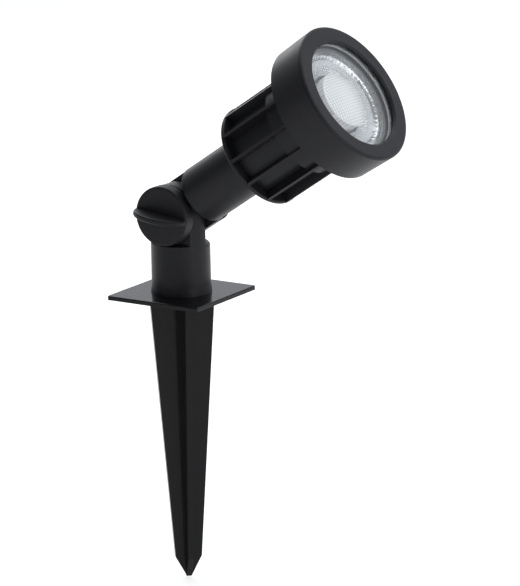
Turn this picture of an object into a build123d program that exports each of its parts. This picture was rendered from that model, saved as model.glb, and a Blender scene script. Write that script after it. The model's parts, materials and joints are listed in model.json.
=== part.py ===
# Garden spike spotlight: a cruciform ground spike with a square plate, a round post with a
# friction joint and thumb knob, and a ribbed lamp head closed by a screw ring with cover glass.
# Millimetres. The origin is the centre of the plate's underside, +Z up. The head leans to +X
# and the thumb knob faces -Y. Each sub-part is written to parts/NODE.step.

from build123d import *
import os
from math import cos, radians, sin, sqrt

os.makedirs("parts", exist_ok=True)

# --- Fits -------------------------------------------------------------------------------
SLIP_GAP = 0.05          # between a piece and the seat that locates it
BORE_GAP = 0.20          # around a bolt in its clearance hole
SCREW_RING_GAP = 0.30    # around the housing's threaded rim, under the front ring

# --- Ground spike: square plate and four tapered blades on its diagonals ------------------
PLATE_SIDE = 49.0
PLATE_T = 2.0
PLATE_CORNER_R = 1.0
PLATE_EDGE_R = 0.5
SPIKE_LENGTH = 135.0
SPIKE_POINT = 9.6        # length of the steeper point below the blades' shoulders
BLADE_ROOT = 15.1        # half-span of a pair of blades under the plate
BLADE_SHOULDER = 6.2     # half-span where the point starts
BLADE_TIP = 1.1          # half-span of the flat at the very tip
BLADE_T = 2.6

# --- Support post ---------------------------------------------------------------------------
POST_R = 13.45
POST_DRAFT = 0.15        # extra radius at the foot
FOOT_FLARE = 0.4
FOOT_FLARE_H = 3.5
POST_WALL = 2.6
POST_TOP_WALL = 3.0
POST_EDGE_R = 1.6
SCREW_SPREAD = 7.4       # post screws, from the axis
SCREW_BOSS_R = 3.7

# --- Countersunk screws that hold the post on the plate ----------------------------------------
POST_SCREW_R = 1.45
POST_SCREW_HEAD_R = 2.75
POST_SCREW_HEAD_H = 1.6
POST_SCREW_LENGTH = 12.0
PILOT_SPARE = 1.0        # pilot hole beyond the screw's end

# --- Tilting joint: ear on the post, washer, lug on the head, all on one bolt ------------------
JOINT_HEIGHT = 39.5
HEAD_ANGLE = 33.7        # head axis above the horizontal as stored
LUG_FACE = 1.2           # y of the lug's flat face, just beside the axis plane
JOINT_WASHER_T = 0.8
JOINT_WASHER_R = 11.0
EAR_T = 8.6
KNOB_WASHER_T = 1.0
KNOB_WASHER_R = 8.5
SWING_GAP = 1.2          # between the lug's rounded end and the post's far shelf
KNOB_GAP = 0.5           # between the knob and the post's near shelf
BOLT_R = 3.0             # M6
BOLT_HEAD_AF = 10.0
BOLT_HEAD_H = 4.0
BOLT_SPARE = 0.5         # bolt beyond the nut
NUT_AF = 10.0
NUT_H = 5.0
NUT_SEAT = 5.9           # lug wall between its flat face and the nut

# --- Thumb knob ---------------------------------------------------------------------------------
KNOB_R = 13.8
KNOB_T = 6.3
KNOB_FRONT_ROUND = 1.0
KNOB_BACK_ROUND = 0.5
FIN_RISE = 9.5           # half-moon finger grip in front of the knob's face
FIN_INSET = 0.3          # fin's ends inside the knob's edge
FIN_T = 2.6
FIN_EDGE_R = 0.9
FIN_TURN = 7.5           # fin against the horizontal, seen from the front

# --- Lamp head, distances along its axis from the joint -----------------------------------------
LUG_DEPTH = 14.0         # lug from the axis plane to its far side
LUG_ROUND = 8.5
SHOULDER_GAP = 2.0       # between the ear's rounded end and the neck's shoulder
NECK_R = 13.4
NECK_LENGTH = 37.2
NECK_ROUND = 0.8
NECK_FLARE = 1.6
NECK_WALL = 3.2
NECK_FLOOR_T = 3.7
FLANGE_R = 24.1
FLANGE_T = 2.0
FLANGE_ROUND = 0.8
REAR_WALL = 3.5          # from the flange's rear face to the lamp chamber
CORE_R = 19.8
COLLAR_R = 22.4
RIB_TIP_R = 24.2
RIB_T = 1.4
RIB_COUNT = 12
RIB_TURN = -3.0          # first rib off the head's top line
RIB_POCKET = 25.0        # deep part of the pockets between the ribs
COLLAR_LENGTH = 14.2
BODY_WALL = 2.5
CUP_FLOOR_T = 2.3
CUP_LENGTH = 12.2
CUP_WALL = 2.5

# --- Cover glass and front ring -------------------------------------------------------------------
GASKET_T = 1.2
GASKET_MARGIN = 0.15     # gasket inside the edges of the rim it lies on
GLASS_T = 3.0
GLASS_GAP = 0.4          # around the glass in the ring
GLASS_EDGE = 0.3
LIP_T = 2.0
LIP_OVERLAP = 2.8        # of the ring's lip over the glass
LIP_BEVEL = 0.9
RING_WALL = 4.0
RING_TAPER = 0.7         # the ring is wider at its front edge
RING_OVERHANG = 0.5      # ring behind the housing's step
RING_FRONT_ROUND = 1.3

# --- Reflector lamp, Ø50 with two pins ------------------------------------------------------------
LAMP_R = 24.9
LAMP_GAP = 0.5           # around the lamp's rim in the housing
LAMP_INSET = 1.3         # lamp's front behind the housing's rim
LAMP_LENGTH = 38.0       # front to base face, without the pins
LAMP_RIM_T = 2.5
LAMP_LIP = 1.5           # lamp's rim around its bowl
LAMP_BOWL_DEPTH = 6.5
LAMP_THROAT_R = 18.2
LAMP_THROAT = 7.0        # throat behind the lamp's front
LAMP_WAIST_R = 15.0
LAMP_WAIST = 24.0
LAMP_TAIL_R = 13.4
LAMP_BASE_H = 8.0
LAMP_BASE_R = 12.5
LAMP_FOOT_X = 11.0
LAMP_FOOT_Y = 18.0
LAMP_FOOT_H = 3.0
LAMP_CAVITY_R = 11.0
SPIGOT_H = 1.5
BOARD_SEAT = 13.0        # LED board's seat behind the lamp's front
BOARD_SEAT_T = 3.0
BOARD_R = 14.0
BOARD_T = 1.6
CHIP_R = 6.4
CHIP_T = 0.9
LENS_R = 13.0
LENS_DOME = 2.5
LENS_LAND = 0.5          # lens edge behind the lamp's front
LENS_FOOT_R = 8.0
LENS_FOOT_T = 1.2
LENS_CONE = 4.5          # lens edge down to the start of its cone
REFLECTOR_T = 1.1
REFLECTOR_SET = 0.5      # reflector's edge behind the lamp's front
DRIVER_W = 16.0
DRIVER_T = 1.6
DRIVER_H = 11.0
PIN_R = 0.75
PIN_PITCH = 5.3
PIN_LENGTH = 7.0
PIN_ROOT = 3.0

# --- Lamp holder on its bridge ----------------------------------------------------------------------
BRIDGE_T = 1.2
BRIDGE_W = 11.0
BRIDGE_HOLE_R = 4.2
BRIDGE_SCREW_R = 1.5
BRIDGE_SCREW_HEAD_R = 2.7
BRIDGE_SCREW_HEAD_H = 1.8
BRIDGE_SCREW_BITE = 2.8
BRIDGE_END = 2.5         # bridge beyond its screws
HOLDER_X = 11.0
HOLDER_Y = 20.0
HOLDER_H = 8.3
HOLDER_EDGE_R = 1.5
HOLDER_SCREW_SPREAD = 6.9
HOLDER_SCREW_R = 1.25
HOLDER_SCREW_HEAD_R = 2.25
HOLDER_SCREW_HEAD_H = 1.7
HOLDER_SCREW_DEEP = 2.2  # counterbore depth
HOLDER_SCREW_SPARE = 1.0
CONTACT_R = 1.6
CONTACT_REAR = 1.0       # contact sleeve's end above the bridge
CONTACT_FRONT = 1.0      # contact sleeve's end below the holder's face

# --- Terminal block and leads in the neck --------------------------------------------------------------
BLOCK_LENGTH = 14.0
BLOCK_W = 15.0
BLOCK_H = 10.6
BLOCK_TO_WALL = 5.5      # block behind the lamp chamber
CLAMP_PITCH = 7.5
CLAMP_R = 2.1
CLAMP_BORE_R = 1.4
CLAMP_INSET = 1.0
CLAMP_SCREW_R = 1.25
CLAMP_SCREW_SPREAD = 3.4
LEAD_R = 0.75
LEAD_BEND_R = 1.2
LEAD_DROP = 4.2          # straight lead behind the contacts
LEAD_BITE = 5.0          # lead inside its clamp
LEAD_RISE = 1.0          # straight lead in front of the block

# --- Cable gland on the far side of the neck -------------------------------------------------------------
GLAND_BOSS_R = 8.2
GLAND_BOSS_RISE = 0.8
GLAND_FROM_FLOOR = 7.0   # gland axis in front of the neck's inner floor
GLAND_THREAD_R = 6.0
GLAND_STEM_R = 5.6
GLAND_AF = 15.0
GLAND_HEX_T = 3.0
GLAND_STEM = 6.0
GLAND_WALL = 1.2
CABLE_R = 3.3            # bore for a round 6.5 mm cable
SEAL_LENGTH = 8.0
GLAND_NUT_H = 8.0
GLAND_NUT_GAP = 0.4      # nut above the hexagon
GLAND_NUT_ROOF = 1.6
GLAND_NOSE_R = 3.7
GLAND_NUT_CROWN = 0.8    # nut's flat crown inside its hexagon

# --- Places worked out from the sizes above ------------------------------------------------------------
EAR_FACE = LUG_FACE - JOINT_WASHER_T
EAR_BACK = EAR_FACE - EAR_T
KNOB_BACK = EAR_BACK - KNOB_WASHER_T
KNOB_FRONT = KNOB_BACK - KNOB_T
NUT_FACE = LUG_FACE + NUT_SEAT
BOLT_END = NUT_FACE + NUT_H + BOLT_SPARE
BOLT_HOLE_R = BOLT_R + BORE_GAP
FAR_SHELF = JOINT_HEIGHT - POST_R - SWING_GAP
NEAR_SHELF = JOINT_HEIGHT - KNOB_R - KNOB_GAP
CAVITY_TOP = FAR_SHELF - POST_TOP_WALL

SHOULDER = POST_R + SHOULDER_GAP
NECK_BORE = NECK_R - NECK_WALL
NECK_FLOOR = SHOULDER + NECK_FLOOR_T
FLANGE = SHOULDER + NECK_LENGTH
RIB_START = FLANGE + FLANGE_T
CHAMBER = FLANGE + REAR_WALL
CHAMBER_R = CORE_R - BODY_WALL
COLLAR = RIB_START + RIB_POCKET
COLLAR_BORE = COLLAR_R - BODY_WALL
CUP = COLLAR + COLLAR_LENGTH
CUP_BORE = LAMP_R + LAMP_GAP
CUP_R = CUP_BORE + CUP_WALL
CUP_RIM = CUP + CUP_LENGTH
GLASS_BACK = CUP_RIM + GASKET_T
GLASS_FRONT = GLASS_BACK + GLASS_T
RING_FRONT = GLASS_FRONT + LIP_T
RING_BACK = CUP - RING_OVERHANG
RING_BORE = CUP_R + SCREW_RING_GAP
GLASS_R = RING_BORE - GLASS_GAP
OPENING_R = GLASS_R - LIP_OVERLAP
RING_R = RING_BORE + RING_WALL

LAMP_FRONT = CUP_RIM - LAMP_INSET
LAMP_BOWL_R = LAMP_R - LAMP_LIP
LAMP_FACE = LAMP_FRONT - LAMP_LENGTH
LAMP_TAIL = LAMP_FACE + LAMP_BASE_H
BOARD_FLOOR = LAMP_FRONT - BOARD_SEAT
BOWL_FLOOR = LAMP_FRONT - LAMP_BOWL_DEPTH
LENS_EDGE = LAMP_FRONT - LENS_LAND
PIN_TIP = LAMP_FACE - PIN_LENGTH
PIN_Y = PIN_PITCH / 2
BRIDGE_FRONT = CHAMBER + BRIDGE_T
BRIDGE_SCREW_Y = (NECK_BORE + CHAMBER_R) / 2
HOLDER_FACE = BRIDGE_FRONT + HOLDER_H
HOLDER_SCREW_SEAT = HOLDER_FACE - HOLDER_SCREW_DEEP

BLOCK_FRONT = CHAMBER - BLOCK_TO_WALL
BLOCK_REAR = BLOCK_FRONT - BLOCK_LENGTH
BLOCK_LOW = sqrt(NECK_BORE ** 2 - (BLOCK_W / 2) ** 2) - SLIP_GAP
BLOCK_X = BLOCK_LOW - BLOCK_H / 2
BLOCK_TOP = BLOCK_LOW - BLOCK_H
CLAMP_Y = CLAMP_PITCH / 2
LEAD_X = BLOCK_X + CLAMP_BORE_R - LEAD_R

GLAND_AT = NECK_FLOOR + GLAND_FROM_FLOOR
GLAND_SEAT = NECK_R + GLAND_BOSS_RISE
GLAND_TOP = GLAND_SEAT + GLAND_HEX_T + GLAND_STEM
GLAND_BORE_R = GLAND_STEM_R - GLAND_WALL

AXLE = Rot(-90, 0, 0)                                   # local Z along +Y, across the joint
JOINT = Pos(0, 0, JOINT_HEIGHT)
HEAD = JOINT * Rot(0, 90 - HEAD_ANGLE, 0)               # local Z along the head's axis
GLAND = Pos(0, 0, GLAND_AT) * AXLE
STANDING = (Align.CENTER, Align.CENTER, Align.MIN)
SIDES = (-1, 1)


def rod(radius, low, high):
    """Round bar along Z between two heights."""
    return Pos(0, 0, low) * Cylinder(radius, high - low, align=STANDING)


def tube(outer, inner, low, high):
    return rod(outer, low, high) - rod(inner, low, high)


def block(width_x, width_y, low, high):
    """Rectangular bar along Z between two heights."""
    return Pos(0, 0, low) * Box(width_x, width_y, high - low, align=STANDING)


def hexagon(across_flats, low, high):
    outline = RegularPolygon(across_flats / 2, 6, major_radius=False)
    return Pos(0, 0, low) * extrude(outline, high - low)


def revolved(points, rounds=()):
    """Solid turned about Z from (radius, height) points; rounds are (corner, radius) pairs."""
    face = make_face(Polyline(*points, close=True))
    for corner, radius in rounds:
        vertex = face.vertices().sort_by_distance(points[corner])[0]
        face = fillet(vertex, radius)
    return revolve(Plane.XZ * face, Axis.Z)


def joint_plate(reach, near, far):
    """Plate from y = near to y = far, rounded about the joint axis and running reach along Z."""
    outline = Circle(POST_R) + Pos(0, -reach / 2) * Rectangle(2 * POST_R, abs(reach))
    return AXLE * Pos(0, 0, near) * extrude(outline, far - near)


# --- Ground spike and post ----------------------------------------------------------------

def post_screw(shank_gap=0.0):
    """Countersunk screw standing head down on z = 0."""
    shank = POST_SCREW_R + shank_gap
    return revolved([(0, 0), (POST_SCREW_HEAD_R, 0), (shank, POST_SCREW_HEAD_H),
                     (shank, POST_SCREW_LENGTH), (0, POST_SCREW_LENGTH)])


def ground_spike():
    plate = block(PLATE_SIDE, PLATE_SIDE, 0, PLATE_T)
    plate = fillet(plate.edges().filter_by(Axis.Z), PLATE_CORNER_R)
    plate = fillet(plate.faces().sort_by(Axis.Z)[-1].edges(), PLATE_EDGE_R)
    half = [(BLADE_ROOT, PLATE_T / 2), (BLADE_ROOT, 0),
            (BLADE_SHOULDER, SPIKE_POINT - SPIKE_LENGTH), (BLADE_TIP, -SPIKE_LENGTH)]
    other_half = [(-x, z) for x, z in reversed(half)]
    blade = extrude(Plane.XZ * make_face(Polyline(*half, *other_half, close=True)),
                    BLADE_T / 2, both=True)
    spike = plate + Rot(0, 0, 45) * blade + Rot(0, 0, -45) * blade
    for side in SIDES:
        spike -= Pos(side * SCREW_SPREAD, 0, 0) * post_screw(SLIP_GAP)
    return spike


def post_screws():
    return Compound([Pos(side * SCREW_SPREAD, 0, 0) * post_screw() for side in SIDES])


def slab(face_y, side, low, high):
    """Everything of the post beyond a plane across Y, between two heights."""
    edge = Align.MIN if side > 0 else Align.MAX
    return Pos(0, face_y, low) * Box(4 * POST_R, 4 * POST_R, high - low,
                                     align=(Align.CENTER, edge, Align.MIN))


def support_post():
    foot = POST_R + POST_DRAFT
    top = JOINT_HEIGHT + 2 * POST_R
    post = revolved([(0, PLATE_T), (foot + FOOT_FLARE, PLATE_T), (foot, PLATE_T + FOOT_FLARE_H),
                     (POST_R, JOINT_HEIGHT), (POST_R, top), (0, top)], [(2, FOOT_FLARE_H)])
    post -= slab(EAR_FACE, 1, FAR_SHELF, top)
    post -= slab(EAR_BACK, -1, NEAR_SHELF, top)
    ear_top = AXLE * rod(POST_R, 2 * EAR_BACK, EAR_FACE)
    post -= JOINT * (slab(EAR_FACE, -1, 0, top) - ear_top)
    far_edge = post.edges().filter_by(GeomType.CIRCLE).filter_by_position(Axis.Z, FAR_SHELF, FAR_SHELF)
    post = fillet(far_edge.sort_by(Axis.Y)[-1], POST_EDGE_R)
    post -= JOINT * AXLE * rod(BOLT_HOLE_R, EAR_BACK, EAR_FACE)
    cavity = rod(POST_R - POST_WALL, PLATE_T, CAVITY_TOP)
    pilot_top = POST_SCREW_LENGTH + PILOT_SPARE
    for side in SIDES:
        place = Pos(side * SCREW_SPREAD, 0, 0)
        cavity -= place * rod(SCREW_BOSS_R, PLATE_T, CAVITY_TOP)
        cavity += place * rod(POST_SCREW_R, PLATE_T, pilot_top)
    return post - cavity


# --- Joint hardware and knob -----------------------------------------------------------------

def joint_washer():
    return JOINT * AXLE * tube(JOINT_WASHER_R, BOLT_HOLE_R, EAR_FACE, LUG_FACE)


def knob_washer():
    return JOINT * AXLE * tube(KNOB_WASHER_R, BOLT_HOLE_R, KNOB_BACK, EAR_BACK)


def finger_fin():
    """Half-moon fin across the knob's face."""
    reach = KNOB_R - FIN_INSET
    outline = Ellipse(reach, FIN_RISE) & Pos(0, -FIN_RISE / 2) * Rectangle(2 * reach, FIN_RISE)
    fin = Plane.XZ * extrude(outline, FIN_T / 2, both=True)
    crest = fin.edges().filter_by(Axis.X, reverse=True).filter_by(Axis.Y, reverse=True)
    return Pos(0, 0, KNOB_FRONT) * fillet(crest, FIN_EDGE_R)


def thumb_knob():
    disc = revolved([(0, KNOB_BACK), (KNOB_R, KNOB_BACK), (KNOB_R, KNOB_FRONT), (0, KNOB_FRONT)],
                    [(1, KNOB_BACK_ROUND), (2, KNOB_FRONT_ROUND)])
    knob = disc + finger_fin()
    knob -= hexagon(BOLT_HEAD_AF + 2 * SLIP_GAP, KNOB_BACK - BOLT_HEAD_H, KNOB_BACK)
    return JOINT * AXLE * Rot(0, 0, FIN_TURN) * knob


def knob_bolt():
    bolt = hexagon(BOLT_HEAD_AF, KNOB_BACK - BOLT_HEAD_H, KNOB_BACK)
    bolt += rod(BOLT_R, KNOB_BACK, BOLT_END)
    return JOINT * AXLE * Rot(0, 0, FIN_TURN) * bolt


def captive_nut():
    nut = hexagon(NUT_AF, NUT_FACE, NUT_FACE + NUT_H) - rod(BOLT_R + SLIP_GAP, NUT_FACE, BOLT_END)
    return HEAD * AXLE * nut


# --- Head housing ---------------------------------------------------------------------------------

def head_outside():
    """Neck, flange, core, collar and the rim that carries the front ring."""
    points = [(0, SHOULDER), (NECK_R, SHOULDER), (NECK_R, FLANGE - NECK_FLARE),
              (NECK_R + NECK_FLARE, FLANGE), (FLANGE_R, FLANGE), (FLANGE_R, RIB_START),
              (CORE_R, RIB_START), (CORE_R, COLLAR), (COLLAR_R, COLLAR), (COLLAR_R, CUP),
              (CUP_R, CUP), (CUP_R, CUP_RIM), (0, CUP_RIM)]
    return revolved(points, [(1, NECK_ROUND), (4, FLANGE_ROUND), (5, FLANGE_ROUND)])


def head_inside():
    """Neck bore, lamp chamber and the seat for the lamp's rim."""
    cup_floor = CUP + CUP_FLOOR_T
    return revolved([(0, NECK_FLOOR), (NECK_BORE, NECK_FLOOR), (NECK_BORE, CHAMBER),
                     (CHAMBER_R, CHAMBER), (CHAMBER_R, COLLAR + BODY_WALL),
                     (COLLAR_BORE, COLLAR + BODY_WALL), (COLLAR_BORE, cup_floor),
                     (CUP_BORE, cup_floor), (CUP_BORE, CUP_RIM), (0, CUP_RIM)])


def lug():
    plate = joint_plate(SHOULDER, LUG_FACE, LUG_DEPTH)
    outline = plate.faces().sort_by(Axis.Y)[-1].edges()
    top = outline.sort_by(Axis.Z)[-1]
    return fillet([edge for edge in outline if edge is not top], LUG_ROUND)


def ribs():
    root = (CHAMBER_R + CORE_R) / 2
    low = FLANGE + FLANGE_T / 2
    high = CUP + CUP_FLOOR_T / 2
    rib = Pos((root + RIB_TIP_R) / 2, 0, low) * Box(RIB_TIP_R - root, RIB_T, high - low,
                                                    align=STANDING)
    step = 360 / RIB_COUNT
    return [Rot(0, 0, RIB_TURN + step * number) * rib for number in range(RIB_COUNT)]


def head_housing():
    boss = GLAND * rod(GLAND_BOSS_R, 0, GLAND_SEAT)
    housing = head_outside() + ribs() + boss
    housing -= head_inside()
    housing += lug()
    housing -= GLAND * rod(GLAND_THREAD_R, 0, GLAND_SEAT)
    housing -= AXLE * rod(BOLT_HOLE_R, LUG_FACE, LUG_DEPTH)
    housing -= AXLE * hexagon(NUT_AF + 2 * SLIP_GAP, NUT_FACE, LUG_DEPTH)
    for side in SIDES:
        housing -= Pos(0, side * BRIDGE_SCREW_Y, 0) * rod(BRIDGE_SCREW_R,
                                                         CHAMBER - BRIDGE_SCREW_BITE, CHAMBER)
    return HEAD * housing


# --- Front ring, glass and gasket ---------------------------------------------------------------------

def front_ring():
    points = [(RING_BORE, RING_BACK), (RING_R, RING_BACK), (RING_R + RING_TAPER, RING_FRONT),
              (OPENING_R + LIP_BEVEL, RING_FRONT), (OPENING_R, RING_FRONT - LIP_BEVEL),
              (OPENING_R, GLASS_FRONT), (RING_BORE, GLASS_FRONT)]
    return HEAD * revolved(points, [(2, RING_FRONT_ROUND)])


def cover_glass():
    glass = rod(GLASS_R, GLASS_BACK, GLASS_FRONT)
    return HEAD * chamfer(glass.edges().filter_by(GeomType.CIRCLE), GLASS_EDGE)


def glass_gasket():
    return HEAD * tube(CUP_R - GASKET_MARGIN, CUP_BORE + GASKET_MARGIN, CUP_RIM, GLASS_BACK)


# --- Reflector lamp --------------------------------------------------------------------------------------

def lamp_body():
    outside = revolved([(0, LAMP_TAIL), (LAMP_TAIL_R, LAMP_TAIL),
                        (LAMP_WAIST_R, LAMP_FRONT - LAMP_WAIST),
                        (LAMP_THROAT_R, LAMP_FRONT - LAMP_THROAT),
                        (LAMP_R, LAMP_FRONT - LAMP_RIM_T), (LAMP_R, LAMP_FRONT), (0, LAMP_FRONT)])
    bowl = revolved([(0, BOARD_FLOOR), (BOARD_R + SLIP_GAP, BOARD_FLOOR),
                     (BOARD_R + SLIP_GAP, BOWL_FLOOR), (LAMP_BOWL_R, LAMP_FRONT - LAMP_RIM_T),
                     (LAMP_BOWL_R, LAMP_FRONT), (0, LAMP_FRONT)])
    cavity = rod(LAMP_CAVITY_R, LAMP_TAIL, BOARD_FLOOR - BOARD_SEAT_T)
    return HEAD * (outside - bowl - cavity)


def lamp_reflector():
    outer = LAMP_BOWL_R - SLIP_GAP
    inner = BOARD_R + SLIP_GAP
    edge = LAMP_FRONT - REFLECTOR_SET
    points = [(inner, BOWL_FLOOR), (outer, LAMP_FRONT - LAMP_RIM_T), (outer, edge),
              (outer - REFLECTOR_T, edge), (outer - REFLECTOR_T, edge - REFLECTOR_T),
              (inner, BOWL_FLOOR + REFLECTOR_T)]
    return HEAD * revolved(points)


def lamp_lens():
    foot = BOARD_FLOOR + BOARD_T
    crown_r = (LENS_R ** 2 + LENS_DOME ** 2) / (2 * LENS_DOME)
    crown = LENS_EDGE + LENS_DOME
    half_way = LENS_R / 2
    side = Polyline((0, crown), (0, foot + LENS_FOOT_T), (LENS_FOOT_R - LENS_FOOT_T, foot + LENS_FOOT_T),
                    (LENS_FOOT_R - LENS_FOOT_T, foot), (LENS_FOOT_R, foot),
                    (LENS_R, LENS_EDGE - LENS_CONE), (LENS_R, LENS_EDGE))
    dome = ThreePointArc((LENS_R, LENS_EDGE),
                         (half_way, crown - crown_r + sqrt(crown_r ** 2 - half_way ** 2)), (0, crown))
    return HEAD * revolve(Plane.XZ * make_face([side, dome]), Axis.Z)


def led_board():
    return HEAD * rod(BOARD_R, BOARD_FLOOR, BOARD_FLOOR + BOARD_T)


def led_chip():
    seat = BOARD_FLOOR + BOARD_T
    return HEAD * rod(CHIP_R, seat, seat + CHIP_T)


def lamp_base():
    base = rod(LAMP_BASE_R, LAMP_FACE + LAMP_FOOT_H, LAMP_TAIL)
    base += block(LAMP_FOOT_X, LAMP_FOOT_Y, LAMP_FACE, LAMP_FACE + LAMP_FOOT_H)
    base += rod(LAMP_CAVITY_R - SLIP_GAP, LAMP_TAIL, LAMP_TAIL + SPIGOT_H)
    for side in SIDES:
        base -= Pos(0, side * PIN_Y, 0) * rod(PIN_R, LAMP_FACE, LAMP_FACE + PIN_ROOT)
    return HEAD * base


def driver_board():
    seat = LAMP_TAIL + SPIGOT_H
    return HEAD * block(DRIVER_W, DRIVER_T, seat, seat + DRIVER_H)


def lamp_pins():
    pin = rod(PIN_R, PIN_TIP, LAMP_FACE + PIN_ROOT)
    return HEAD * Compound([Pos(0, side * PIN_Y, 0) * pin for side in SIDES])


# --- Lamp holder and its bridge ------------------------------------------------------------------------------

def holder_bridge():
    length = 2 * (BRIDGE_SCREW_Y + BRIDGE_END)
    strap = block(BRIDGE_W, length, CHAMBER, BRIDGE_FRONT)
    strap = fillet(strap.edges().filter_by(Axis.Z), BRIDGE_END)
    strap -= rod(BRIDGE_HOLE_R, CHAMBER, BRIDGE_FRONT)
    for side in SIDES:
        strap -= Pos(0, side * BRIDGE_SCREW_Y, 0) * rod(BRIDGE_SCREW_R + SLIP_GAP, CHAMBER, BRIDGE_FRONT)
        strap -= Pos(0, side * HOLDER_SCREW_SPREAD, 0) * rod(HOLDER_SCREW_R, CHAMBER, BRIDGE_FRONT)
    return HEAD * strap


def bridge_screws():
    screw = rod(BRIDGE_SCREW_R, CHAMBER - BRIDGE_SCREW_BITE, BRIDGE_FRONT)
    screw += rod(BRIDGE_SCREW_HEAD_R, BRIDGE_FRONT, BRIDGE_FRONT + BRIDGE_SCREW_HEAD_H)
    return HEAD * Compound([Pos(0, side * BRIDGE_SCREW_Y, 0) * screw for side in SIDES])


def lamp_holder():
    holder = block(HOLDER_X, HOLDER_Y, BRIDGE_FRONT, HOLDER_FACE)
    holder = fillet(holder.edges().filter_by(Axis.Z), HOLDER_EDGE_R)
    for side in SIDES:
        holder -= Pos(0, side * PIN_Y, 0) * rod(CONTACT_R + SLIP_GAP, BRIDGE_FRONT, HOLDER_FACE)
        place = Pos(0, side * HOLDER_SCREW_SPREAD, 0)
        holder -= place * rod(HOLDER_SCREW_R + SLIP_GAP, BRIDGE_FRONT, HOLDER_FACE)
        holder -= place * rod(HOLDER_SCREW_HEAD_R + SLIP_GAP, HOLDER_SCREW_SEAT, HOLDER_FACE)
    return HEAD * holder


def holder_screws():
    screw = rod(HOLDER_SCREW_R, CHAMBER - HOLDER_SCREW_SPARE, HOLDER_SCREW_SEAT)
    screw += rod(HOLDER_SCREW_HEAD_R, HOLDER_SCREW_SEAT, HOLDER_SCREW_SEAT + HOLDER_SCREW_HEAD_H)
    return HEAD * Compound([Pos(0, side * HOLDER_SCREW_SPREAD, 0) * screw for side in SIDES])


def holder_contacts():
    sleeve = tube(CONTACT_R, PIN_R + SLIP_GAP, BRIDGE_FRONT + CONTACT_REAR, HOLDER_FACE - CONTACT_FRONT)
    return HEAD * Compound([Pos(0, side * PIN_Y, 0) * sleeve for side in SIDES])


# --- Leads and terminal block in the neck ----------------------------------------------------------------------

def lamp_lead(side):
    """One lead from its contact sleeve, through the bridge, into its clamp."""
    start = PIN_TIP - SLIP_GAP
    path = FilletPolyline((0, side * PIN_Y, start), (0, side * PIN_Y, start - LEAD_DROP),
                          (LEAD_X, side * CLAMP_Y, BLOCK_FRONT + LEAD_RISE),
                          (LEAD_X, side * CLAMP_Y, BLOCK_FRONT - LEAD_BITE), radius=LEAD_BEND_R)
    section = Plane(origin=path @ 0, z_dir=path % 0) * Circle(LEAD_R)
    return sweep(section, path)


def lamp_leads():
    return HEAD * Compound([lamp_lead(side) for side in SIDES])


def terminal_block():
    body = Pos(BLOCK_X, 0, 0) * block(BLOCK_H, BLOCK_W, BLOCK_REAR, BLOCK_FRONT)
    for side in SIDES:
        body -= Pos(BLOCK_X, side * CLAMP_Y, 0) * rod(CLAMP_R + SLIP_GAP, BLOCK_REAR, BLOCK_FRONT)
        for place in clamp_screw_places(side):
            body -= place * rod(CLAMP_SCREW_R + BORE_GAP, BLOCK_TOP, BLOCK_X)
    return HEAD * body


def clamp_screw_places(side):
    """Local Z of each place runs into the block from above, measured from the neck's axis."""
    middle = (BLOCK_REAR + BLOCK_FRONT) / 2
    return [Pos(0, side * CLAMP_Y, middle + end * CLAMP_SCREW_SPREAD) * Rot(0, 90, 0) for end in SIDES]


def terminal_clamps():
    clamps = []
    for side in SIDES:
        clamp = Pos(BLOCK_X, side * CLAMP_Y, 0) * tube(CLAMP_R, CLAMP_BORE_R, BLOCK_REAR + CLAMP_INSET,
                                                       BLOCK_FRONT - CLAMP_INSET)
        for place in clamp_screw_places(side):
            clamp -= place * rod(CLAMP_SCREW_R, BLOCK_TOP, BLOCK_X)
        clamps.append(clamp)
    return HEAD * Compound(clamps)


def terminal_screws():
    tip = LEAD_X - LEAD_R
    screw = rod(CLAMP_SCREW_R, BLOCK_TOP, tip)
    return HEAD * Compound([place * screw for side in SIDES for place in clamp_screw_places(side)])


# --- Cable gland ------------------------------------------------------------------------------------------------

def gland_body():
    body = rod(GLAND_THREAD_R - SLIP_GAP, NECK_BORE, GLAND_SEAT)
    body += hexagon(GLAND_AF, GLAND_SEAT, GLAND_SEAT + GLAND_HEX_T)
    body += rod(GLAND_STEM_R, GLAND_SEAT, GLAND_TOP)
    body -= rod(GLAND_BORE_R, NECK_BORE, GLAND_TOP)
    return HEAD * GLAND * body


def gland_seal():
    return HEAD * GLAND * tube(GLAND_BORE_R - SLIP_GAP, CABLE_R, GLAND_TOP - SEAL_LENGTH, GLAND_TOP)


def gland_nut():
    low = GLAND_SEAT + GLAND_HEX_T + GLAND_NUT_GAP
    high = low + GLAND_NUT_H
    crown_r = GLAND_AF / 2 - GLAND_NUT_CROWN
    cone = revolved([(0, low), (crown_r + high - low, low), (crown_r, high), (0, high)])
    nut = cone & hexagon(GLAND_AF, low, high)
    nut -= rod(GLAND_STEM_R + SLIP_GAP, low, high - GLAND_NUT_ROOF)
    nut -= rod(GLAND_NOSE_R, low, high)
    return HEAD * GLAND * nut


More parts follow.
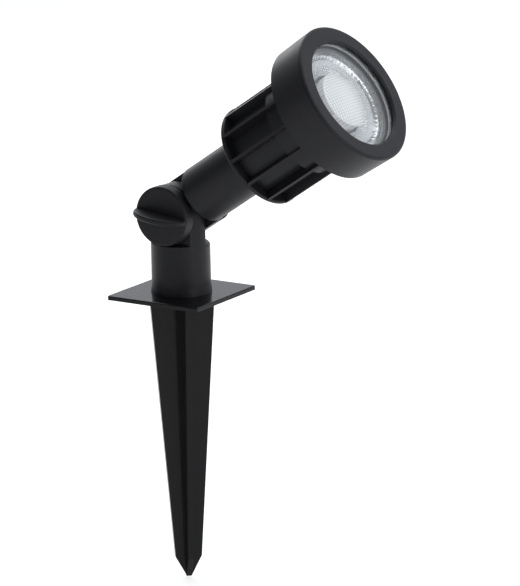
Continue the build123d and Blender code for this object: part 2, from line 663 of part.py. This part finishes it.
NODES = {
    "ground_spike": ground_spike,
    "post_screws": post_screws,
    "support_post": support_post,
    "joint_washer": joint_washer,
    "knob_washer": knob_washer,
    "thumb_knob": thumb_knob,
    "knob_bolt": knob_bolt,
    "captive_nut": captive_nut,
    "head_housing": head_housing,
    "front_ring": front_ring,
    "cover_glass": cover_glass,
    "glass_gasket": glass_gasket,
    "lamp_body": lamp_body,
    "lamp_reflector": lamp_reflector,
    "lamp_lens": lamp_lens,
    "led_board": led_board,
    "led_chip": led_chip,
    "lamp_base": lamp_base,
    "driver_board": driver_board,
    "lamp_pins": lamp_pins,
    "holder_bridge": holder_bridge,
    "bridge_screws": bridge_screws,
    "lamp_holder": lamp_holder,
    "holder_screws": holder_screws,
    "holder_contacts": holder_contacts,
    "lamp_leads": lamp_leads,
    "terminal_block": terminal_block,
    "terminal_clamps": terminal_clamps,
    "terminal_screws": terminal_screws,
    "gland_body": gland_body,
    "gland_seal": gland_seal,
    "gland_nut": gland_nut,
}

for node, build in NODES.items():
    export_step(build(), f"parts/{node}.step")

axis = (cos(radians(HEAD_ANGLE)), 0, sin(radians(HEAD_ANGLE)))
print("head axis", [round(part, 6) for part in axis])
print("gland seal middle", (HEAD * GLAND * Pos(0, 0, GLAND_TOP - SEAL_LENGTH / 2)).position)
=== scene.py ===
# Garden spike spotlight: materials, lens and reflector detail, camera and studio light.
# Lengths given in millimetres are turned into metres where the meshes are made.

import bpy
import json
from math import atan2, cos, hypot, pi, radians, sin, sqrt
from mathutils import Matrix, Vector


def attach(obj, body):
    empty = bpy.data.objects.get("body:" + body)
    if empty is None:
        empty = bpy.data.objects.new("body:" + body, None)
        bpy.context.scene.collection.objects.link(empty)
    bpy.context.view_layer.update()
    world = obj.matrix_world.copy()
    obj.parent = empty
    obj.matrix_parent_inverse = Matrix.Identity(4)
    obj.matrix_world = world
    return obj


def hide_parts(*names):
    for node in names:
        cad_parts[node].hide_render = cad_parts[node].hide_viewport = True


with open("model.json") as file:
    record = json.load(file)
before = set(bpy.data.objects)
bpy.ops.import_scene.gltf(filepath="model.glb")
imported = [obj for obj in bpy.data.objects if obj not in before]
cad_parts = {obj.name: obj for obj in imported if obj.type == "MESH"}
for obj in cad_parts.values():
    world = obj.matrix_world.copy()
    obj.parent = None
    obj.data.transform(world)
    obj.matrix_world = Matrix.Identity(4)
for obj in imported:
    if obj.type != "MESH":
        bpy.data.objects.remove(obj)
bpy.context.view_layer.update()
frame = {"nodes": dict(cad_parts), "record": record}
NODES = frame["nodes"]
MM = 0.001

# --- Places taken from the model, in millimetres ------------------------------------------------
JOINT_HEIGHT = 39.5
HEAD_ANGLE = radians(33.7)
SPIKE_END = -135.0
BOWL_FLOOR = 98.25
BOWL_EDGE = 102.25
BOWL_R = 23.35
REFLECTOR_EDGE = 104.25
REFLECTOR_T = 1.1
BOARD_R = 14.05
LENS_R = 13.0
LENS_EDGE = 104.25
LENS_DOME = 2.5
LENS_FOOT = 93.35
LENS_FOOT_R = 8.0
LENS_FOOT_T = 1.2
LENS_CONE = 4.5

# --- Fine relief that the model leaves out, in millimetres ----------------------------------------
DIMPLE_PITCH = 1.3
DIMPLE_RISE = 0.14
BOWL_CREASE = (0.82, 0.62)   # share of the bowl's width and of its rise where the steep wall starts
FACET_BANDS = (              # from and to, as shares of the width; rows; facets round; rise
    (0.02, 0.50, 4, 76, 0.28),
    (0.83, 0.99, 1, 60, 0.34),
)
LENS_ROWS, LENS_STEPS = 62, 360
BOWL_ROWS, BOWL_STEPS = 50, 608

# --- Studio ---------------------------------------------------------------------------------------
FLOOR = (SPIKE_END - 1.0) * MM
FLOOR_WHITE = 0.86
FLOOR_INDIRECT = 0.62        # the floor's tone in reflections, so that dark faces stay dark
FLOOR_GLOW = 0.62            # lifts the floor to the white of the backdrop
WORLD_BACK = 0.72
WORLD_FRONT = 0.17
LAMP_TARGET = (0.03, 0, 0.03)

HEAD = Matrix((
    (sin(HEAD_ANGLE), 0, cos(HEAD_ANGLE), 0),
    (0, 1, 0, 0),
    (-cos(HEAD_ANGLE), 0, sin(HEAD_ANGLE), JOINT_HEIGHT),
    (0, 0, 0, 1),
))


# --- Shader building blocks -----------------------------------------------------------------------
def new_group(name, inputs, outputs):
    """Empty shader group with named sockets; returns the group, its input and its output node."""
    group = bpy.data.node_groups.new(name, "ShaderNodeTree")
    for socket, kind, value in inputs:
        item = group.interface.new_socket(name=socket, in_out="INPUT", socket_type=kind)
        if value is not None:
            item.default_value = value
    for socket, kind in outputs:
        group.interface.new_socket(name=socket, in_out="OUTPUT", socket_type=kind)
    source = group.nodes.new("NodeGroupInput")
    sink = group.nodes.new("NodeGroupOutput")
    source.location = (-900, 0)
    sink.location = (600, 0)
    return group, source, sink


def add(tree, kind, x=0, y=0, **settings):
    node = tree.nodes.new(kind)
    node.location = (x, y)
    for key, value in settings.items():
        setattr(node, key, value)
    return node


def math_node(tree, operation, first, second, x=0, y=0, clamp=False):
    node = add(tree, "ShaderNodeMath", x, y, operation=operation, use_clamp=clamp)
    for index, value in enumerate((first, second)):
        if isinstance(value, (int, float)):
            node.inputs[index].default_value = value
        else:
            tree.links.new(value, node.inputs[index])
    return node.outputs[0]


def noise(tree, vector, scale, detail, x=0, y=0, roughness=0.5):
    node = add(tree, "ShaderNodeTexNoise", x, y)
    node.inputs["Detail"].default_value = detail
    node.inputs["Roughness"].default_value = roughness
    tree.links.new(vector, node.inputs["Vector"])
    if isinstance(scale, (int, float)):
        node.inputs["Scale"].default_value = scale
    else:
        tree.links.new(scale, node.inputs["Scale"])
    return node.outputs["Fac"]


def build_moulded_skin():
    """Fine moulded grain with patches that are a little shinier or duller."""
    group, source, sink = new_group(
        "moulded_skin",
        [("Vector", "NodeSocketVector", None), ("Grain", "NodeSocketFloat", 2500.0),
         ("Roughness", "NodeSocketFloat", 0.45), ("Spread", "NodeSocketFloat", 0.08)],
        [("Roughness", "NodeSocketFloat"), ("Height", "NodeSocketFloat")])
    grain = noise(group, source.outputs["Vector"], source.outputs["Grain"], 3, -600, -200)
    patches = noise(group, source.outputs["Vector"], 70, 4, -600, 200)
    centred = math_node(group, "SUBTRACT", patches, 0.5, -400, 200)
    spread = math_node(group, "MULTIPLY", centred, source.outputs["Spread"], -200, 200)
    rough = math_node(group, "ADD", source.outputs["Roughness"], spread, 0, 200, clamp=True)
    group.links.new(rough, sink.inputs["Roughness"])
    group.links.new(grain, sink.inputs["Height"])
    return group


def build_dust_film():
    """Thin pale dust that lies in patches and more on faces that look up."""
    group, source, sink = new_group(
        "dust_film",
        [("Vector", "NodeSocketVector", None), ("Color", "NodeSocketColor", (0.02, 0.02, 0.02, 1)),
         ("Dust", "NodeSocketColor", (0.3, 0.29, 0.27, 1)), ("Amount", "NodeSocketFloat", 0.04)],
        [("Color", "NodeSocketColor")])
    patches = noise(group, source.outputs["Vector"], 120, 6, -700, 100, 0.65)
    shape = add(group, "ShaderNodeValToRGB", -500, 100)
    shape.color_ramp.elements[0].position = 0.42
    shape.color_ramp.elements[1].position = 0.72
    group.links.new(patches, shape.inputs["Fac"])
    facing = add(group, "ShaderNodeNewGeometry", -700, -150)
    split = add(group, "ShaderNodeSeparateXYZ", -500, -150)
    group.links.new(facing.outputs["Normal"], split.inputs[0])
    up = math_node(group, "MULTIPLY_ADD", split.outputs["Z"], 0.35, -300, -150, clamp=True)
    up.node.inputs[2].default_value = 0.45
    amount = math_node(group, "MULTIPLY", shape.outputs["Color"], up, -100, 0)
    amount = math_node(group, "MULTIPLY", amount, source.outputs["Amount"], 50, 0, clamp=True)
    mix = add(group, "ShaderNodeMix", 300, 0, data_type="RGBA")
    group.links.new(amount, mix.inputs["Factor"])
    group.links.new(source.outputs["Color"], mix.inputs["A"])
    group.links.new(source.outputs["Dust"], mix.inputs["B"])
    group.links.new(mix.outputs["Result"], sink.inputs["Color"])
    return group


def build_fine_scratches():
    """Sparse hairline scratches in two directions."""
    group, source, sink = new_group(
        "fine_scratches",
        [("Vector", "NodeSocketVector", None), ("Scale", "NodeSocketFloat", 60.0),
         ("Level", "NodeSocketFloat", 0.66)],
        [("Height", "NodeSocketFloat")])
    lines = []
    for number, turn in enumerate((0.5, -0.9)):
        place = add(group, "ShaderNodeMapping", -700, 300 * number)
        place.inputs["Rotation"].default_value = (turn, 0.7 * turn, 1.3 * turn)
        place.inputs["Scale"].default_value = (1.0, 22.0, 22.0)
        group.links.new(source.outputs["Vector"], place.inputs["Vector"])
        strands = noise(group, place.outputs["Vector"], source.outputs["Scale"], 2,
                        -500, 300 * number)
        lines.append(math_node(group, "GREATER_THAN", strands, source.outputs["Level"],
                               -250, 300 * number))
    both = math_node(group, "MAXIMUM", lines[0], lines[1], 0, 100)
    group.links.new(both, sink.inputs["Height"])
    return group


def build_brushed_lines():
    """Fine lines of drawn or turned metal, with a roughness that follows them."""
    group, source, sink = new_group(
        "brushed_lines",
        [("Vector", "NodeSocketVector", None), ("Scale", "NodeSocketFloat", 300.0),
         ("Roughness", "NodeSocketFloat", 0.3)],
        [("Roughness", "NodeSocketFloat"), ("Height", "NodeSocketFloat")])
    place = add(group, "ShaderNodeMapping", -700, 0)
    place.inputs["Scale"].default_value = (1.0, 1.0, 14.0)
    group.links.new(source.outputs["Vector"], place.inputs["Vector"])
    strands = noise(group, place.outputs["Vector"], source.outputs["Scale"], 4, -500, 0)
    centred = math_node(group, "SUBTRACT", strands, 0.5, -300, 100)
    spread = math_node(group, "MULTIPLY", centred, 0.3, -150, 100)
    rough = math_node(group, "ADD", source.outputs["Roughness"], spread, 0, 100, clamp=True)
    group.links.new(rough, sink.inputs["Roughness"])
    group.links.new(strands, sink.inputs["Height"])
    return group


def build_dot_grid():
    """Rows of round dots across the head's axis, 1 on a dot and 0 between dots."""
    group, source, sink = new_group(
        "dot_grid",
        [("Vector", "NodeSocketVector", None), ("Pitch", "NodeSocketFloat", 0.001)],
        [("Dots", "NodeSocketFloat")])
    turn = add(group, "ShaderNodeMapping", -700, 0)
    turn.inputs["Location"].default_value = (JOINT_HEIGHT * MM * cos(HEAD_ANGLE), 0, 0)
    turn.inputs["Rotation"].default_value = (0, HEAD_ANGLE - pi / 2, 0)
    group.links.new(source.outputs["Vector"], turn.inputs["Vector"])
    split = add(group, "ShaderNodeSeparateXYZ", -500, 0)
    group.links.new(turn.outputs["Vector"], split.inputs[0])
    waves = []
    for number, axis in enumerate(("X", "Y")):
        phase = math_node(group, "DIVIDE", split.outputs[axis], source.outputs["Pitch"],
                          -350, 200 * number)
        phase = math_node(group, "MULTIPLY", phase, 2 * pi, -200, 200 * number)
        waves.append(math_node(group, "COSINE", phase, 0, -50, 200 * number))
    both = math_node(group, "ADD", waves[0], waves[1], 100, 100)
    half = math_node(group, "MULTIPLY_ADD", both, 0.5, 250, 100, clamp=True)
    half.node.inputs[2].default_value = 0.5
    group.links.new(half, sink.inputs["Dots"])
    return group


MOULDED_SKIN = build_moulded_skin()
DUST_FILM = build_dust_film()
FINE_SCRATCHES = build_fine_scratches()
BRUSHED_LINES = build_brushed_lines()
DOT_GRID = build_dot_grid()


# --- Materials --------------------------------------------------------------------------------------
def start_material(name):
    material = bpy.data.materials.new(name)
    material.use_nodes = True
    tree = material.node_tree
    shader = tree.nodes["Principled BSDF"]
    place = add(tree, "ShaderNodeTexCoord", -1100, 0)
    return material, tree, shader, place.outputs["Object"]


def use_group(tree, group, vector, x, y, **values):
    node = add(tree, "ShaderNodeGroup", x, y, node_tree=group)
    tree.links.new(vector, node.inputs["Vector"])
    for socket, value in values.items():
        node.inputs[socket].default_value = value
    return node


def add_bump(tree, shader, height, distance, strength=1.0, under=None, x=-300, y=-350):
    bump = add(tree, "ShaderNodeBump", x, y)
    bump.inputs["Strength"].default_value = strength
    bump.inputs["Distance"].default_value = distance
    tree.links.new(height, bump.inputs["Height"])
    if under is not None:
        tree.links.new(under.outputs["Normal"], bump.inputs["Normal"])
    tree.links.new(bump.outputs["Normal"], shader.inputs["Normal"])
    return bump


def moulded_plastic(name, color, roughness, grain=2500.0, depth=0.00002, dust=0.04, spread=0.08,
                    scratches=0.0, shine=0.5):
    """Plastic, coating or rubber: grain, patchy gloss, thin dust and, if asked, scratches."""
    material, tree, shader, vector = start_material(name)
    skin = use_group(tree, MOULDED_SKIN, vector, -700, -100, Grain=grain, Roughness=roughness,
                     Spread=spread)
    film = use_group(tree, DUST_FILM, vector, -700, 250, Color=(*color, 1), Amount=dust)
    tree.links.new(film.outputs["Color"], shader.inputs["Base Color"])
    tree.links.new(skin.outputs["Roughness"], shader.inputs["Roughness"])
    bump = add_bump(tree, shader, skin.outputs["Height"], depth)
    if scratches:
        lines = use_group(tree, FINE_SCRATCHES, vector, -700, -450)
        add_bump(tree, shader, lines.outputs["Height"], scratches, under=bump, x=-100, y=-350)
    shader.inputs["Specular IOR Level"].default_value = shine
    return material


def bare_metal(name, color, roughness, scale=300.0, depth=0.00001):
    material, tree, shader, vector = start_material(name)
    lines = use_group(tree, BRUSHED_LINES, vector, -700, -100, Scale=scale, Roughness=roughness)
    film = use_group(tree, DUST_FILM, vector, -700, 250, Color=(*color, 1), Amount=0.05)
    tree.links.new(film.outputs["Color"], shader.inputs["Base Color"])
    tree.links.new(lines.outputs["Roughness"], shader.inputs["Roughness"])
    add_bump(tree, shader, lines.outputs["Height"], depth)
    shader.inputs["Metallic"].default_value = 1.0
    return material


def clear_material(name, color, roughness, ior, weight=1.0):
    """Glass or clear plastic with a faint film that makes its gloss uneven. Shadow rays find it
    nearly open, so that the lamps light what lies behind it."""
    material, tree, shader, vector = start_material(name)
    skin = use_group(tree, MOULDED_SKIN, vector, -700, -100, Grain=400.0, Roughness=roughness,
                     Spread=0.02)
    film = use_group(tree, DUST_FILM, vector, -700, 250, Color=(*color, 1), Amount=0.02)
    tree.links.new(film.outputs["Color"], shader.inputs["Base Color"])
    tree.links.new(skin.outputs["Roughness"], shader.inputs["Roughness"])
    shader.inputs["Transmission Weight"].default_value = weight
    shader.inputs["IOR"].default_value = ior
    path = add(tree, "ShaderNodeLightPath", -500, -500)
    blocked = math_node(tree, "MULTIPLY", path.outputs["Is Shadow Ray"], 0.9, -300, -500)
    tree.links.new(math_node(tree, "SUBTRACT", 1.0, blocked, -150, -500), shader.inputs["Alpha"])
    return material


def dotted_lens(name):
    """Frosted clear plastic whose face is covered with a grid of small dots."""
    material, tree, shader, vector = start_material(name)
    dots = use_group(tree, DOT_GRID, vector, -900, 250, Pitch=DIMPLE_PITCH * MM)
    skin = use_group(tree, MOULDED_SKIN, vector, -700, -100, Grain=600.0, Roughness=0.3,
                     Spread=0.06)
    tone = add(tree, "ShaderNodeMix", -500, 250, data_type="RGBA")
    tone.inputs["A"].default_value = (0.66, 0.67, 0.7, 1)
    tone.inputs["B"].default_value = (0.95, 0.96, 0.98, 1)
    tree.links.new(dots.outputs["Dots"], tone.inputs["Factor"])
    tree.links.new(tone.outputs["Result"], shader.inputs["Base Color"])
    tree.links.new(skin.outputs["Roughness"], shader.inputs["Roughness"])
    shader.inputs["Transmission Weight"].default_value = 0.25
    shader.inputs["IOR"].default_value = 1.49
    return material


MATERIALS = {
    "spike_plastic": moulded_plastic("spike_plastic", (0.011, 0.011, 0.0126), 0.14, grain=900,
                                     depth=0.000012, dust=0.02, spread=0.1, scratches=0.000006,
                                     shine=0.17),
    "post_plastic": moulded_plastic("post_plastic", (0.0155, 0.0155, 0.018), 0.42, dust=0.03,
                                    shine=0.2),
    "knob_plastic": moulded_plastic("knob_plastic", (0.021, 0.021, 0.0245), 0.48, dust=0.04,
                                    shine=0.2),
    "head_metal": moulded_plastic("head_metal", (0.0205, 0.0208, 0.0243), 0.40, grain=3200,
                                  depth=0.00003, dust=0.03, shine=0.2),
    "clear_glass": clear_material("clear_glass", (0.97, 0.985, 0.98), 0.0, 1.5),
    "seal_rubber": moulded_plastic("seal_rubber", (0.014, 0.014, 0.014), 0.7, dust=0.05),
    "bright_steel": bare_metal("bright_steel", (0.62, 0.62, 0.60), 0.3),
    "gland_plastic": moulded_plastic("gland_plastic", (0.016, 0.016, 0.018), 0.42, shine=0.25),
    "lamp_metal": bare_metal("lamp_metal", (0.30, 0.31, 0.33), 0.42),
    "lamp_plastic": moulded_plastic("lamp_plastic", (0.78, 0.77, 0.73), 0.45, dust=0.05),
    "reflector_coat": bare_metal("reflector_coat", (0.64, 0.65, 0.67), 0.24, scale=60.0),
    "lens_plastic": dotted_lens("lens_plastic"),
    "board_white": moulded_plastic("board_white", (0.85, 0.85, 0.83), 0.4, dust=0.05),
    "led_yellow": moulded_plastic("led_yellow", (0.85, 0.66, 0.16), 0.5, dust=0.03),
    "board_green": moulded_plastic("board_green", (0.03, 0.16, 0.06), 0.3, dust=0.06),
    "pin_brass": bare_metal("pin_brass", (0.80, 0.62, 0.28), 0.25),
    "holder_ceramic": moulded_plastic("holder_ceramic", (0.82, 0.80, 0.74), 0.35, dust=0.08),
    "lead_silicone": moulded_plastic("lead_silicone", (0.72, 0.70, 0.64), 0.55, dust=0.08),
    "terminal_plastic": moulded_plastic("terminal_plastic", (0.80, 0.79, 0.72), 0.45, dust=0.06),
}

for part in frame["record"]["subparts"]:
    piece = NODES[part["node"]]
    piece.data.materials.clear()
    piece.data.materials.append(MATERIALS[part["material_slot"]])
    piece.data.polygons.foreach_set("use_smooth", [True] * len(piece.data.polygons))
    piece.data.set_sharp_from_angle(angle=radians(28))

# The gasket under the glass is of translucent silicone, unlike the black seals.
NODES["glass_gasket"].data.materials[0] = clear_material(
    "clear_silicone", (0.8, 0.82, 0.84), 0.35, 1.4, weight=0.3)


# --- Turned pieces of the lamp ----------------------------------------------------------------------
def turned(name, profile, steps, shift):
    """Closed mesh turned about the head's axis from (radius, place) points. The profile starts and
    ends on the axis or closes on itself, and shift(x, y, place) moves a point along the axis."""
    points, faces, rows = [], [], []
    for radius, place in profile:
        if radius == 0:
            rows.append([len(points)])
            points.append(HEAD @ Vector((0, 0, place + shift(0, 0, place))) * MM)
            continue
        rows.append(list(range(len(points), len(points) + steps)))
        for step in range(steps):
            angle = 2 * pi * step / steps
            x, y = radius * cos(angle), radius * sin(angle)
            points.append(HEAD @ Vector((x, y, place + shift(x, y, place))) * MM)
    pairs = list(zip(rows, rows[1:]))
    if profile[0][0] != 0:
        pairs.append((rows[-1], rows[0]))
    for low, high in pairs:
        for step in range(steps):
            after = (step + 1) % steps
            if len(low) == 1:
                faces.append((low[0], high[after], high[step]))
            elif len(high) == 1:
                faces.append((low[step], low[after], high[0]))
            else:
                faces.append((low[step], low[after], high[after], high[step]))
    mesh = bpy.data.meshes.new(name)
    mesh.from_pydata(points, [], faces)
    mesh.polygons.foreach_set("use_smooth", [True] * len(mesh.polygons))
    mesh.set_sharp_from_angle(angle=radians(35))
    piece = bpy.data.objects.new(name, mesh)
    bpy.context.scene.collection.objects.link(piece)
    return piece


def lens_shift(x, y, place):
    """Dimples in square rows over the lens's domed face."""
    if place < LENS_EDGE + 0.01:
        return 0
    waves = cos(2 * pi * x / DIMPLE_PITCH) + cos(2 * pi * y / DIMPLE_PITCH)
    return DIMPLE_RISE * (waves - 2) / 4


def make_lens():
    crown_r = (LENS_R ** 2 + LENS_DOME ** 2) / (2 * LENS_DOME)
    middle = LENS_EDGE + LENS_DOME - crown_r
    radii = [LENS_R * row / LENS_ROWS for row in range(LENS_ROWS + 1)]
    dome = [(radius, middle + sqrt(crown_r ** 2 - radius ** 2)) for radius in radii]
    side = [(LENS_R, LENS_EDGE - LENS_CONE), (LENS_FOOT_R, LENS_FOOT),
            (LENS_FOOT_R - LENS_FOOT_T, LENS_FOOT),
            (LENS_FOOT_R - LENS_FOOT_T, LENS_FOOT + LENS_FOOT_T),
            (0, LENS_FOOT + LENS_FOOT_T)]
    lens = turned("lens_dimpled", dome + side, LENS_STEPS, lens_shift)
    lens.data.materials.append(MATERIALS["lens_plastic"])
    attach(lens, "head")
    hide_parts("lamp_lens")


def reflector_shift(x, y, place):
    """Pillow-shaped facets on the open face of the bowl, uneven in depth."""
    if place > REFLECTOR_EDGE - REFLECTOR_T - 0.01:
        return 0
    share = (hypot(x, y) - BOARD_R) / (BOWL_R - REFLECTOR_T - BOARD_R)
    for start, end, rows, facets, rise in FACET_BANDS:
        if start < share < end:
            row = (share - start) / (end - start) * rows
            turn = atan2(y, x) / (2 * pi) * facets + 0.5 * (int(row) % 2)
            pillow = abs(sin(pi * row)) * abs(sin(pi * turn))
            uneven = 0.75 + 0.25 * sin(12.9 * int(row) + 78.2 * int(turn))
            return rise * uneven * sqrt(pillow)
    return 0


def make_reflector():
    inner = BOWL_R - REFLECTOR_T
    low = BOWL_FLOOR + REFLECTOR_T
    edge = REFLECTOR_EDGE - REFLECTOR_T
    crease_share, crease_rise = BOWL_CREASE
    face = []
    for row in range(BOWL_ROWS + 1):
        share = row / BOWL_ROWS
        if share < crease_share:
            rise = share / crease_share * crease_rise
        else:
            rise = crease_rise + (share - crease_share) / (1 - crease_share) * (1 - crease_rise)
        face.append((BOARD_R + (inner - BOARD_R) * share, low + (edge - low) * rise))
    rim = [(inner, REFLECTOR_EDGE), (BOWL_R, REFLECTOR_EDGE), (BOWL_R, BOWL_EDGE)]
    profile = [(BOARD_R, BOWL_FLOOR)] + face + rim
    bowl = turned("reflector_faceted", profile, BOWL_STEPS, reflector_shift)
    bowl.data.materials.append(MATERIALS["reflector_coat"])
    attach(bowl, "head")
    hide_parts("lamp_reflector")


make_lens()
make_reflector()


# --- Floor, light and camera ------------------------------------------------------------------------
def backdrop_seen(tree, x, y):
    """1 for rays that show the backdrop: straight from the camera, mirrored, or through glass."""
    path = add(tree, "ShaderNodeLightPath", x, y)
    seen = math_node(tree, "MAXIMUM", path.outputs["Is Camera Ray"],
                     path.outputs["Is Transmission Ray"], x + 150, y)
    return math_node(tree, "MAXIMUM", seen, path.outputs["Is Glossy Ray"], x + 300, y)


def make_floor():
    mesh = bpy.data.meshes.new("floor")
    steps = 64
    reach = 6.0
    points = [(reach * cos(2 * pi * step / steps), reach * sin(2 * pi * step / steps), FLOOR)
              for step in range(steps)]
    mesh.from_pydata(points, [], [tuple(range(steps))])
    floor = bpy.data.objects.new("floor", mesh)
    bpy.context.scene.collection.objects.link(floor)
    material = bpy.data.materials.new("floor_white")
    material.use_nodes = True
    tree = material.node_tree
    shader = tree.nodes["Principled BSDF"]
    shader.inputs["Roughness"].default_value = 0.9
    shader.inputs["Specular IOR Level"].default_value = 0.1
    seen = backdrop_seen(tree, -900, 0)
    tone = add(tree, "ShaderNodeMix", -500, 200, data_type="RGBA")
    tone.inputs["A"].default_value = (*[FLOOR_INDIRECT] * 3, 1)
    tone.inputs["B"].default_value = (*[FLOOR_WHITE] * 3, 1)
    tree.links.new(seen, tone.inputs["Factor"])
    tree.links.new(tone.outputs["Result"], shader.inputs["Base Color"])
    glow = math_node(tree, "MULTIPLY", seen, FLOOR_GLOW, -500, -100)
    tree.links.new(glow, shader.inputs["Emission Strength"])
    shader.inputs["Emission Color"].default_value = (1, 1, 1, 1)
    mesh.materials.append(material)


def make_world():
    """White surroundings, dimmer on the side the camera stands on so that dark faces stay dark."""
    world = bpy.data.worlds.new("studio")
    bpy.context.scene.world = world
    world.use_nodes = True
    tree = world.node_tree
    background = tree.nodes["Background"]
    place = add(tree, "ShaderNodeTexCoord", -1200, 0)
    toward = add(tree, "ShaderNodeVectorMath", -1000, 0, operation="DOT_PRODUCT")
    toward.inputs[1].default_value = (0.12, -0.99, 0.0)
    tree.links.new(place.outputs["Generated"], toward.inputs[0])
    ramp = add(tree, "ShaderNodeMapRange", -800, 0, interpolation_type="SMOOTHSTEP")
    ramp.inputs["From Min"].default_value = -0.55
    ramp.inputs["From Max"].default_value = 0.35
    ramp.inputs["To Max"].default_value = WORLD_FRONT
    tree.links.new(toward.outputs["Value"], ramp.inputs["Value"])
    path = add(tree, "ShaderNodeLightPath", -1000, 300)
    behind = math_node(tree, "MAXIMUM", backdrop_seen(tree, -1400, -300), WORLD_BACK, -950, -300)
    tree.links.new(behind, ramp.inputs["To Min"])
    level = math_node(tree, "MAXIMUM", ramp.outputs["Result"], path.outputs["Is Camera Ray"], -500, 0)
    tree.links.new(level, background.inputs["Strength"])
    tone = add(tree, "ShaderNodeMix", -500, 300, data_type="RGBA")
    tone.inputs["A"].default_value = (0.92, 0.95, 1.0, 1)
    tone.inputs["B"].default_value = (1, 1, 1, 1)
    tree.links.new(path.outputs["Is Camera Ray"], tone.inputs["Factor"])
    tree.links.new(tone.outputs["Result"], background.inputs["Color"])


def add_light(name, kind, place, target, power):
    """Lamp at a place that points to a target; returns the lamp's data."""
    lamp = bpy.data.lights.new(name, kind)
    lamp.energy = power
    light = bpy.data.objects.new(name, lamp)
    bpy.context.scene.collection.objects.link(light)
    light.location = place
    light.rotation_euler = (Vector(target) - Vector(place)).to_track_quat("-Z", "Y").to_euler()
    return lamp


def add_soft_box(name, place, size, power):
    lamp = add_light(name, "AREA", place, LAMP_TARGET, power)
    lamp.shape = "RECTANGLE"
    lamp.size, lamp.size_y = size


def add_lens_spot():
    """Narrow spot through the cover glass onto the lens."""
    middle = HEAD @ Vector((0, 0, LENS_EDGE + LENS_DOME)) * MM
    lamp = add_light("lens_spot", "SPOT", (1.0, -0.45, 1.0), middle, 27)
    lamp.spot_size = radians(2.2)
    lamp.spot_blend = 0.6
    lamp.shadow_soft_size = 0.04


def make_camera():
    """The camera stands round from the knob's side toward the lamp's front, a little above it."""
    azimuth, elevation, roll = radians(32.87), radians(14.13), radians(-1.103417)
    distance = 1.488
    back = Vector((sin(azimuth) * cos(elevation), -cos(azimuth) * cos(elevation), sin(elevation)))
    right = Vector((cos(azimuth), sin(azimuth), 0))
    up = back.cross(right)
    target = Vector((0.0300110, 0.0193954, 0.0000498))
    across = right * cos(roll) + up * sin(roll)
    upward = up * cos(roll) - right * sin(roll)
    camera = bpy.data.cameras.new("camera")
    camera.sensor_width = 36
    camera.lens = 200.0912
    camera.clip_start = 0.05
    camera.clip_end = 30
    stand = bpy.data.objects.new("camera", camera)
    bpy.context.scene.collection.objects.link(stand)
    place = target + back * distance
    stand.matrix_world = Matrix((
        (across.x, upward.x, back.x, place.x),
        (across.y, upward.y, back.y, place.y),
        (across.z, upward.z, back.z, place.z),
        (0, 0, 0, 1),
    ))
    bpy.context.scene.camera = stand


make_floor()
make_world()
add_soft_box("top_light", (-0.1, 0.35, 1.3), (1.2, 0.8), 4.0)
add_soft_box("left_light", (-0.9, 0.75, 0.75), (0.5, 0.9), 4.0)
add_soft_box("right_light", (1.1, -0.15, 0.35), (0.5, 1.0), 3.0)
add_lens_spot()
make_camera()
bpy.context.scene.view_settings.view_transform = "Standard"
